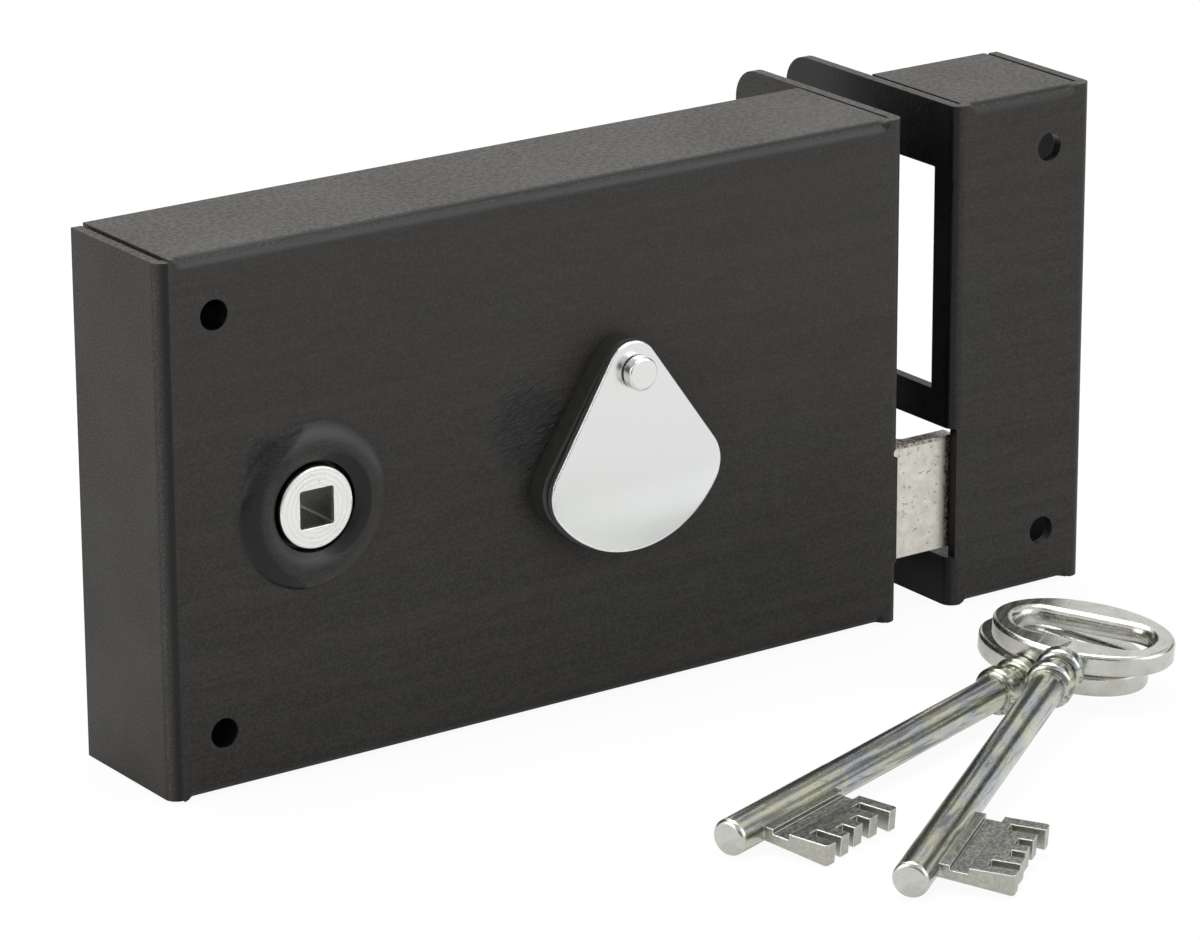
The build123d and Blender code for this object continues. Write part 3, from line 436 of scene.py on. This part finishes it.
def looks(tree, way, share=1.0):
    """A share that is full on faces that look one of the named ways, and 0 elsewhere."""
    axis, starts, full = LOOKS[way]
    return ramp(tree, looking(tree, axis), starts, full, 0.0, share)


def away_from(tree, place, centre):
    """Distance from an axis along Y through a point of the row frame."""
    shifted = vectors(tree, "SUBTRACT", place, (centre.x, 0, centre.z))
    return vectors(tree, "LENGTH", vectors(tree, "MULTIPLY", shifted, (1, 0, 1)))


def axis_of(name):
    """Centre of a node's box, as a point on its axis."""
    low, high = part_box(name)
    return (low + high) / 2


def square_axis():
    """Point on the axis of the follower's square, level with the middle of the case."""
    return Vector((axis_of("follower").x, 0, 0))


def inside_box(tree, place, low, high, margin):
    """1 within a box less a margin, and 0 outside it."""
    middle, half = (low + high) / 2, (high - low) / 2 - Vector((margin, margin, margin))
    sized = vectors(tree, "DIVIDE", vectors(tree, "SUBTRACT", place, middle), half)
    parts = axes(tree, vectors(tree, "ABSOLUTE", sized))
    return maths(tree, "LESS_THAN", largest(tree, parts["X"], parts["Y"], parts["Z"]), 1.0)


def coat_creases(tree, place):
    """Leathery wrinkles in the coat beside the raised ring and beside the cover's block."""
    from_emboss = away_from(tree, place, square_axis() + EMBOSS_WRINKLES)
    from_cover = away_from(tree, place, axis_of("drop_cover") + COVER_WRINKLES)
    at_emboss = ramp(tree, from_emboss, *EMBOSS_WRINKLES_FADE, 1.0, 0.0)
    at_cover = ramp(tree, from_cover, *COVER_WRINKLES_FADE, COVER_WRINKLES_SHARE, 0.0)
    patches = noise(tree, place, waves=130, detail=2.0)
    scattered = ramp(tree, patches, 0.6, 0.72, 0.0, STRAY_WRINKLES_SHARE)
    near = largest(tree, at_emboss, at_cover, scattered)
    creases = drawn_noise(tree, place, waves=(420, 900, 1900), detail=2.0, roughness=0.6,
                          distortion=1.2, tilt=WRINKLES_TILT)
    return product(tree, creases, near, looks(tree, "wrinkled"))


def coat_fields(tree, place, name):
    """What the coat's colour, gloss and relief share: the folded box, directions and noises."""
    low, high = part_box(name)
    # The rear lip reaches past the door face, where the inside of the box ends
    high.y = 0
    level = axes(tree, place)["Z"]
    # The left face is painted in shade, more at its foot
    left_shade = ramp(tree, level, low.z, high.z, *LEFT_SHADE)
    front = looks(tree, "front")
    soft = rounded(tree, COAT_EDGE_RADIUS)
    return SimpleNamespace(
        place=place,
        low=low,
        high=high,
        level=level,
        front=front,
        coarse=rest_of(tree, product(tree, front, FRONT_EVENNESS)),
        left=product(tree, left_shade, looks(tree, "left")),
        lines=drawn_noise(tree, place, waves=(90, 900, 1900), roughness=0.6, distortion=0.6, tilt=LINES_TILT),
        bands=drawn_noise(tree, place, waves=(9, 60, 340), roughness=0.6, distortion=0.3),
        grain=noise(tree, place, waves=2600, detail=2.0, roughness=0.6),
        patches=noise(tree, place, waves=38),
        creases=coat_creases(tree, place),
        soft=soft,
        edge=on_edges(tree, soft),
        from_square=away_from(tree, place, square_axis()),
    )


def coat_colour_and_shade(tree, coat, name):
    """The coat's colour: painted shade on the lower front and the left face, streaked, specked, and worn and
    painted lighter as a highlight at its edges.
    """
    plain = mixed(tree, ramp(tree, coat.patches, 0.35, 0.65), COAT_COOL, COAT_WARM)
    # Painted shade: darker towards the foot of the front, and on the left face
    front_shade = ramp(tree, coat.level, coat.low.z, coat.high.z, *FRONT_SHADE[name])
    darker = largest(tree, product(tree, front_shade, coat.front), coat.left)
    toned = mixed(tree, darker, plain, COAT_PAINTED_SHADE)
    long_marks = ramp(tree, maths(tree, "ADD", coat.lines, coat.bands), 0.85, 1.2, 0.0, STREAK_SHARE)
    streaked = mixed(tree, product(tree, long_marks, coat.front), toned, COAT_STREAK)
    beside_left = rest_of(tree, product(tree, coat.left, LEFT_EVENNESS))
    speck = product(tree, ramp(tree, coat.grain, 0.44, 0.64), coat.coarse, beside_left)
    specked = mixed(tree, speck, streaked, COAT_SPECK)
    flecks = noise(tree, coat.place, waves=1100, roughness=0.6)
    flecked = mixed(tree, ramp(tree, flecks, 0.38, 0.62), TOP_DARK, TOP_LIGHT)
    topped = mixed(tree, looks(tree, "top", TOP_SHARE), specked, flecked)
    # Lighter edges: partly wear, partly a painted highlight
    return mixed(tree, product(tree, coat.edge, WEAR_AND_HIGHLIGHT_SHARE), topped, COAT_WEAR_AND_HIGHLIGHT)


def coat_brow_reflection(tree, coat, name, colour):
    """Paints what the upper bend mirrors, as a painted reflection: a lighter band, and a dark crest above it.
    """
    topmost = past(tree, coat.level, coat.high.z, BROW_BAND)
    frontward = product(tree, topmost, looks(tree, "frontward"))
    brow = product(tree, looks(tree, "brow_lower"), looks(tree, "brow_upper"))
    brow_reflected = mixed(tree, product(tree, brow, frontward, BROW_REFLECTION_SHARE[name]), colour, COAT_BROW_REFLECTION)
    crest = product(tree, looks(tree, "crest_lower"), looks(tree, "crest_upper"))
    return mixed(tree, product(tree, crest, frontward), brow_reflected, COAT_CREST_REFLECTION)


def coat_shadows(tree, coat, ring, name):
    """A share that is 1 where the coat mirrors no light: the ring's left, the left bend, the keep's left."""
    bend_start, bend_end = DARK_BENDS[name]
    along = looking(tree, "X")
    beside_ring = product(tree, ring, looks(tree, "ring_left"), looks(tree, "ring_not_up"))
    bend = product(tree, ramp(tree, along, *bend_start), ramp(tree, along, *bend_end))
    if name != "keep":
        return largest(tree, beside_ring, bend)
    side = past(tree, axes(tree, coat.place)["X"], coat.low.x, KEEP_SIDE_DEPTH)
    return largest(tree, beside_ring, bend, product(tree, side, looks(tree, "hidden_left")))


def coat_gloss(tree, coat, ring, shadows):
    """The coat's roughness: patchy, and smoother on the ring and in the shadows."""
    dull = ramp(tree, coat.patches, 0.3, 0.7, *COAT_ROUGHNESS)
    sleek = product(tree, shadows, past(tree, coat.level, coat.low.z, SLEEK_RISE))
    smooth = product(tree, largest(tree, sleek, product(tree, ring, RING_SLEEKNESS)), SLEEK_LOSS)
    return maths(tree, "SUBTRACT", dull, smooth)


def coat_relief(tree, coat):
    """The coat's bumps over rounded edges: grain, long lines on the front, and wrinkles."""
    grainy = bump(tree, product(tree, coat.grain, coat.coarse), GRAIN_HEIGHT, coat.soft)
    lined = bump(tree, product(tree, coat.lines, coat.front), LINES_HEIGHT, grainy)
    return bump(tree, coat.creases, WRINKLES_HEIGHT, lined)


def case_paint(name):
    """Nearly black powder coat on the folded case or keep, with painted shade, painted light and painted
    reflections, and painted shade inside the box.
    """
    made, tree, place = new_finish(name + "_paint")
    coat = coat_fields(tree, place, name)
    ring = past(tree, coat.from_square, RING_REACH, RING_FADE)
    shadows = coat_shadows(tree, coat, ring, name)
    toned = coat_colour_and_shade(tree, coat, name)
    # Painted shade in the creases of the wrinkles
    crease_shade = ramp(tree, coat.creases, 0.32, 0.46, 0.0, CREASE_SHADE_SHARE)
    crease_shaded = mixed(tree, crease_shade, toned, COAT_CREASE_SHADE)
    crest_reflected = coat_brow_reflection(tree, coat, name, crease_shaded)
    # Painted light on the raised ring where it faces up
    lit_slope = mixed(tree, past(tree, coat.from_square, RIDGE_REACH, RIDGE_FADE), RING_INNER_PAINTED_LIGHT,
                  RING_OUTER_PAINTED_LIGHT)
    raised = mixed(tree, product(tree, ring, looks(tree, "ring_up")), crest_reflected, lit_slope)
    shadowed = mixed(tree, shadows, raised, COAT_SHADOW)
    inner = inside_box(tree, place, coat.low, coat.high, SKIN)
    return dress(
        made,
        Base_Color=mixed(tree, inner, shadowed, COAT_SHADOW),
        Specular_IOR_Level=COAT_SPECULAR,
        Roughness=coat_gloss(tree, coat, ring, shadows),
        Normal=coat_relief(tree, coat),
    )


def block_plastic():
    """Black plastic of the keyhole block, a little glossier than the paint."""
    made, tree, place = new_finish("block_plastic")
    grain = noise(tree, place, waves=900, detail=2.0)
    colour = mixed(tree, grain, PLASTIC_DARK, PLASTIC_LIGHT)
    return dress(
        made,
        Base_Color=colour,
        Specular_IOR_Level=PLASTIC_SPECULAR,
        Roughness=PLASTIC_ROUGHNESS,
        Normal=bump(tree, grain, BLOCK_GRAIN_HEIGHT, rounded(tree, BLOCK_EDGE_RADIUS)),
    )


def cover_zinc():
    """Bright, smooth zinc plate with a faint colour drift, and painted light that brightens it towards its
    foot.
    """
    made, tree, place = new_finish("cover_zinc")
    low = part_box("drop_cover")[0]
    drift = noise(tree, place, waves=30, detail=2.0)
    plain = mixed(tree, ramp(tree, drift, 0.1, 0.9), COVER_COOL, COVER_WARM)
    # Painted light towards the foot, where the plate mirrors darker things
    lower = past(tree, axes(tree, place)["Z"], low.z, COVER_PAINTED_LIGHT_RISE)
    soft = rounded(tree, COVER_EDGE_RADIUS)
    # Lighter edges: partly wear, partly a painted highlight
    colour = mixed(tree, on_edges(tree, soft), mixed(tree, lower, plain, COVER_FOOT_PAINTED_LIGHT), COVER_EDGE_WEAR_AND_HIGHLIGHT)
    hair = drawn_noise(tree, place, waves=(900, 900, 90), roughness=0.6, distortion=0.2)
    normal = bump(tree, hair, COVER_HAIR_HEIGHT, soft)
    return dress(made, Metallic=1.0, Base_Color=colour, Roughness=COVER_ROUGHNESS, Normal=normal)


def follower_zinc():
    """Bright die-cast zinc: fine turning rings on its face, painted shade behind it and in the square."""
    made, tree, place = new_finish("follower_zinc")
    low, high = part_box("follower")
    distance = away_from(tree, place, square_axis())
    depth = axes(tree, place)["Y"]
    wobble = noise(tree, place, waves=300, detail=2.0)
    swirl = maths(tree, "ADD", distance, product(tree, wobble, TURNED_WOBBLE))
    rings = maths(tree, "SINE", product(tree, swirl, TURNED_RADIANS))
    pits = ramp(tree, noise(tree, place, waves=1100, roughness=0.7), 0.28, 0.38)
    soft = rounded(tree, FOLLOWER_EDGE_RADIUS)
    turned = mixed(tree, ramp(tree, rings, 0.5, 1.0, 0.0, TURNED_SHARE), TURNED_LIGHT, TURNED_DARK)
    cast = mixed(tree, pits, FOLLOWER_PIT, turned)
    # Lighter edges: partly wear, partly a painted highlight
    bright = mixed(tree, on_edges(tree, soft), cast, FOLLOWER_EDGE_WEAR_AND_HIGHLIGHT)
    # Painted shade behind the face and in the square
    behind_face = product(tree, past(tree, depth, low.y, RECESS_SHADE_START),
                      past(tree, depth, high.y, RECESS_SHADE_END, 1.0, 0.0))
    recess_shade = mixed(tree, past(tree, distance, SQUARE_REACH, SQUARE_FADE), SQUARE_PAINTED_SHADE, OUTER_PAINTED_SHADE)
    return dress(
        made,
        Metallic=1.0,
        Base_Color=mixed(tree, behind_face, bright, recess_shade),
        Roughness=ramp(tree, wobble, 0.3, 0.7, *FOLLOWER_ROUGHNESS),
        Normal=bump(tree, pits, FOLLOWER_PIT_DEPTH, bump(tree, rings, TURNED_HEIGHT, soft)),
    )


def latch_zinc():
    """Die-cast zinc bolt: warm white, with scattered pits and mottled painted shade on its top and tip."""
    made, tree, place = new_finish("latch_zinc")
    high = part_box("latch_bolt")[1]
    parts = axes(tree, place)
    clouds = noise(tree, place, waves=420, detail=5.0, roughness=0.65, distortion=0.4)
    pits = ramp(tree, noise(tree, place, waves=900, detail=2.0, roughness=0.5), 0.30, 0.38)
    grit = noise(tree, place, waves=1400, roughness=0.7)
    cast = mixed(tree, ramp(tree, clouds, 0.35, 0.7), LATCH_DARK, LATCH_LIGHT)
    pitted = mixed(tree, pits, LATCH_PIT, cast)
    top = past(tree, parts["Z"], high.z, LATCH_TOP_SHADE)
    uneven = maths(tree, "ADD", parts["X"], product(tree, clouds, LATCH_TIP_WOBBLE))
    tip = past(tree, uneven, high.x, LATCH_TIP_SHADE)
    # Mottled painted shade on the bolt's top and tip
    dull = mixed(tree, ramp(tree, grit, 0.4, 0.6), LATCH_SHADE_DARK, LATCH_SHADE_LIGHT)
    return dress(
        made,
        Metallic=1.0,
        Base_Color=mixed(tree, largest(tree, top, tip), pitted, dull),
        Roughness=ramp(tree, clouds, 0.3, 0.75, *LATCH_ROUGHNESS),
        Normal=bump(tree, pits, LATCH_PIT_DEPTH, bump(tree, clouds, LATCH_CLOUD_HEIGHT)),
    )


def shank_colour(tree, streaks, strokes, stains):
    """Stained zinc with dark streaks along the key."""
    stained = mixed(tree, ramp(tree, stains, 0.35, 0.65), KEY_COOL, KEY_WARM)
    long_marks = ramp(tree, streaks, 0.48, 0.64, 0.0, STREAKS_SHARE)
    short_marks = ramp(tree, strokes, 0.56, 0.7, 0.0, STROKES_SHARE)
    return mixed(tree, largest(tree, long_marks, short_marks), stained, KEY_STREAK)


def bow_colour(tree, strokes, stains):
    """Smooth zinc with fine scratches."""
    smooth = mixed(tree, ramp(tree, stains, 0.4, 0.7), BOW_LIGHT, BOW_DARK)
    return mixed(tree, ramp(tree, strokes, 0.55, 0.75, 0.0, SCRATCHES_SHARE), smooth, BOW_SCRATCH)


def bit_colour(tree, specks):
    """Dull cast zinc, darker on top."""
    side = mixed(tree, ramp(tree, specks, 0.35, 0.6), BIT_SIDE_DARK, BIT_SIDE_LIGHT)
    top = mixed(tree, ramp(tree, specks, 0.40, 0.6), BIT_TOP_DARK, BIT_TOP_LIGHT)
    return mixed(tree, looks(tree, "key_top"), side, top)


def key_zinc(key):
    """Yellowish bright zinc on a cast key: a streaked shank, a smooth bow and a dull cast bit."""
    made, tree, place = new_finish(key + "_zinc")
    tip, heading = KEY_PLACES[key]
    local = stretched(tree, place, (1, 1, 1), (0, 0, math.radians(heading)), tip)
    parts = axes(tree, local)
    streaks = drawn_noise(tree, local, waves=(45, 800, 800), detail=4.0, roughness=0.7, distortion=0.5)
    strokes = drawn_noise(tree, local, waves=(260, 1500, 1500), roughness=0.7)
    stains = noise(tree, local, waves=140, distortion=0.6)
    specks = noise(tree, local, waves=1500, roughness=0.7)
    beside = ramp(tree, parts["Y"], *BIT_SIDE, 1.0, 0.0)
    bit = product(tree, beside, ramp(tree, parts["X"], *BIT_END, 1.0, 0.0))
    bow = ramp(tree, parts["X"], *BOW_START)
    plain = largest(tree, bow, ramp(tree, parts["X"], *TIP_FACE))
    soft = rounded(tree, KEY_EDGE_RADIUS)
    shank = shank_colour(tree, streaks, strokes, stains)
    handled = mixed(tree, plain, shank, bow_colour(tree, strokes, stains))
    cast = mixed(tree, bit, handled, bit_colour(tree, specks))
    # Lighter rims on the bit and bow: partly wear, partly a painted highlight
    rim = product(tree, on_edges(tree, soft), largest(tree, bit, bow))
    colour = mixed(tree, rim, cast, KEY_RIM_WEAR_AND_HIGHLIGHT)
    polish = ramp(tree, streaks, 0.3, 0.8, *KEY_ROUGHNESS)
    drawn = bump(tree, product(tree, streaks, rest_of(tree, plain)), KEY_STREAK_HEIGHT, soft)
    grainy = bump(tree, product(tree, specks, bit), KEY_SPECK_HEIGHT, drawn)
    return dress(
        made,
        Metallic=1.0,
        Base_Color=colour,
        Roughness=maths(tree, "ADD", polish, product(tree, bit, BIT_DULLNESS)),
        Normal=bump(tree, stains, KEY_STAIN_HEIGHT, grainy),
    )


def plated_steel(name):
    """Plain plated or bare steel for the mechanism and the back, with light wear."""
    made, tree, place = new_finish(name)
    colour, roughness = STEELS[name]
    worn = tuple(c * STEEL_WEAR for c in colour)
    cloud = noise(tree, place, waves=120, detail=4.0, roughness=0.6)
    fine = drawn_noise(tree, place, waves=(90, 900, 900))
    return dress(
        made,
        Metallic=1.0,
        Base_Color=mixed(tree, ramp(tree, cloud, 0.3, 0.7), worn, colour),
        Roughness=ramp(tree, cloud, 0.3, 0.7, roughness + STEEL_DULLNESS, roughness),
        Normal=bump(tree, fine, STEEL_LINES_HEIGHT),
    )


def dress_nodes():
    """Gives every CAD node a finish of its own, or else the one of its material slot."""
    finishes = {
        "block_plastic": block_plastic(),
        "cover_zinc": cover_zinc(),
        "follower_zinc": follower_zinc(),
        "latch_zinc": latch_zinc(),
    }
    for name in STEELS:
        finishes[name] = plated_steel(name)
    own_finishes = {
        "case_front": case_paint("case_front"),
        "keep": case_paint("keep"),
        "key_1": key_zinc("key_1"),
        "key_2": key_zinc("key_2"),
        # The mounting tubes take black steel as painted shade in the holes of the case
        "mounting_tubes": finishes["blacked_steel"],
    }
    for part in frame["record"]["subparts"]:
        name = part["node"]
        mesh = frame["nodes"][name].data
        mesh.materials.clear()
        mesh.materials.append(own_finishes[name] if name in own_finishes else finishes[part["material_slot"]])


def mirrored(tree):
    """1 for what is seen in a mirror or through glass."""
    path = node(tree, "ShaderNodeLightPath").outputs
    return largest(tree, path["Is Glossy Ray"], path["Is Transmission Ray"])


def seen_directly(tree):
    """1 for what the camera sees, straight, mirrored or through glass, and 0 for what lights a surface."""
    path = node(tree, "ShaderNodeLightPath").outputs
    return largest(tree, path["Is Camera Ray"], mirrored(tree))


def beside_lock(tree):
    """1 on the floor at the lock's foot, fading to 0 further out: where mirrors see a painted shadow."""
    low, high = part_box("case_front")[0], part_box("keep")[1]
    place = node(tree, "ShaderNodeNewGeometry").outputs["Position"]
    apart = vectors(tree, "ABSOLUTE", vectors(tree, "SUBTRACT", place, (low + high) / 2))
    outside = vectors(tree, "MAXIMUM", vectors(tree, "SUBTRACT", apart, (high - low) / 2))
    return ramp(tree, vectors(tree, "LENGTH", outside), 0.0, FLOOR_SHADE_REACH, 1.0, 0.0)


def show_white(tree, share, shader, kind, output):
    """Puts plain white over a shader by a share."""
    white = node(tree, kind, {"Color": WHITE, "Strength": 1.0})
    both = node(tree, "ShaderNodeMixShader", {0: share, 1: shader.outputs[0], 2: white.outputs[0]})
    tree.links.new(both.outputs[0], tree.nodes[output].inputs["Surface"])


def add_floor():
    """A plain pale floor at the part's foot, which keeps a soft shadow, with a painted shadow round the
    lock's foot for what mirrors see.
    """
    height = cad_box[0][2] - FLOOR_DROP
    bpy.ops.mesh.primitive_plane_add(size=FLOOR_SIZE, location=(0, 0, height))
    floor = bpy.context.object
    floor.name = "floor"
    made = dress(new_material("floor"), Base_Color=FLOOR_COLOUR, Roughness=FLOOR_ROUGHNESS,
                 Specular_IOR_Level=0.0)
    tree = made.node_tree
    own = product(tree, node(tree, "ShaderNodeLightPath").outputs["Is Camera Ray"], FLOOR_OWN_SHARE)
    # Painted shadow round the lock's foot for mirrored rays
    shade = product(tree, beside_lock(tree), FLOOR_SHADE_SHARE)
    mirror = product(tree, mirrored(tree), maths(tree, "SUBTRACT", MIRRORED_FLOOR_SHARE, shade))
    show_white(tree, maths(tree, "ADD", own, mirror), tree.nodes["Principled BSDF"],
               "ShaderNodeEmission", "Material Output")
    floor.data.materials.append(made)


def add_sky():
    """A plain white surround: even light on the part, pure white to the camera."""
    world = bpy.data.worlds.new("studio")
    bpy.context.scene.world = world
    world.use_nodes = True
    tree = world.node_tree
    light = tree.nodes["Background"]
    feed(tree, light.inputs["Color"], SKY_COLOUR)
    feed(tree, light.inputs["Strength"], SKY_STRENGTH)
    show_white(tree, seen_directly(tree), light, "ShaderNodeBackground", "World Output")


def facing(place, target):
    """A matrix at a place whose -Z looks at a target."""
    turn = (target - place).to_track_quat("-Z", "Y").to_matrix().to_4x4()
    return Matrix.Translation(place) @ turn


def add_lamp(name, place, size, power, colour):
    """One large square soft lamp, aimed at the part."""
    data = bpy.data.lights.new(name, "AREA")
    data.shape = "SQUARE"
    data.size = size
    data.energy = power
    data.color = colour
    lamp = bpy.data.objects.new(name, data)
    lamp.matrix_world = facing(Vector(place), AIM)
    bpy.context.scene.collection.objects.link(lamp)


def add_card(name, place, size):
    """A dark card that bright metal mirrors; the camera and the lit surfaces don't see it."""
    bpy.ops.mesh.primitive_plane_add(size=1.0)
    card = bpy.context.object
    card.name = name
    card.matrix_world = facing(Vector(place), AIM) @ Matrix.Diagonal((*size, 1, 1))
    card.data.materials.append(dress(new_material(name), Base_Color=CARD_COLOUR, Roughness=1.0))
    card.visible_camera = False
    card.visible_diffuse = False
    card.visible_shadow = False


def add_camera():
    """The camera at the photograph's viewing angle."""
    azimuth, drop, roll = (math.radians(a) for a in (CAMERA_AZIMUTH, CAMERA_DROP, CAMERA_ROLL))
    ahead = Vector((math.sin(azimuth) * math.cos(drop), math.cos(azimuth) * math.cos(drop), -math.sin(drop)))
    level = ahead.cross(Vector((0, 0, 1))).normalized()
    upright = level.cross(ahead)
    right = math.cos(roll) * level + math.sin(roll) * upright
    up = math.cos(roll) * upright - math.sin(roll) * level
    data = bpy.data.cameras.new("camera")
    data.sensor_fit = "HORIZONTAL"
    data.sensor_width = SENSOR_WIDTH
    data.lens = SENSOR_WIDTH * FOCAL_PIXELS / IMAGE_WIDTH
    data.clip_start = CLIP_START
    data.clip_end = CLIP_END
    camera = bpy.data.objects.new("camera", data)
    camera.matrix_world = Matrix.Translation(CAMERA_PLACE) @ Matrix((right, up, -ahead)).transposed().to_4x4()
    bpy.context.scene.collection.objects.link(camera)
    bpy.context.scene.camera = camera


dress_nodes()
add_floor()
add_sky()
for lamp in LAMPS:
    add_lamp(*lamp)
for card in CARDS:
    add_card(*card)
add_camera()
bpy.context.scene.view_settings.view_transform = "Standard"
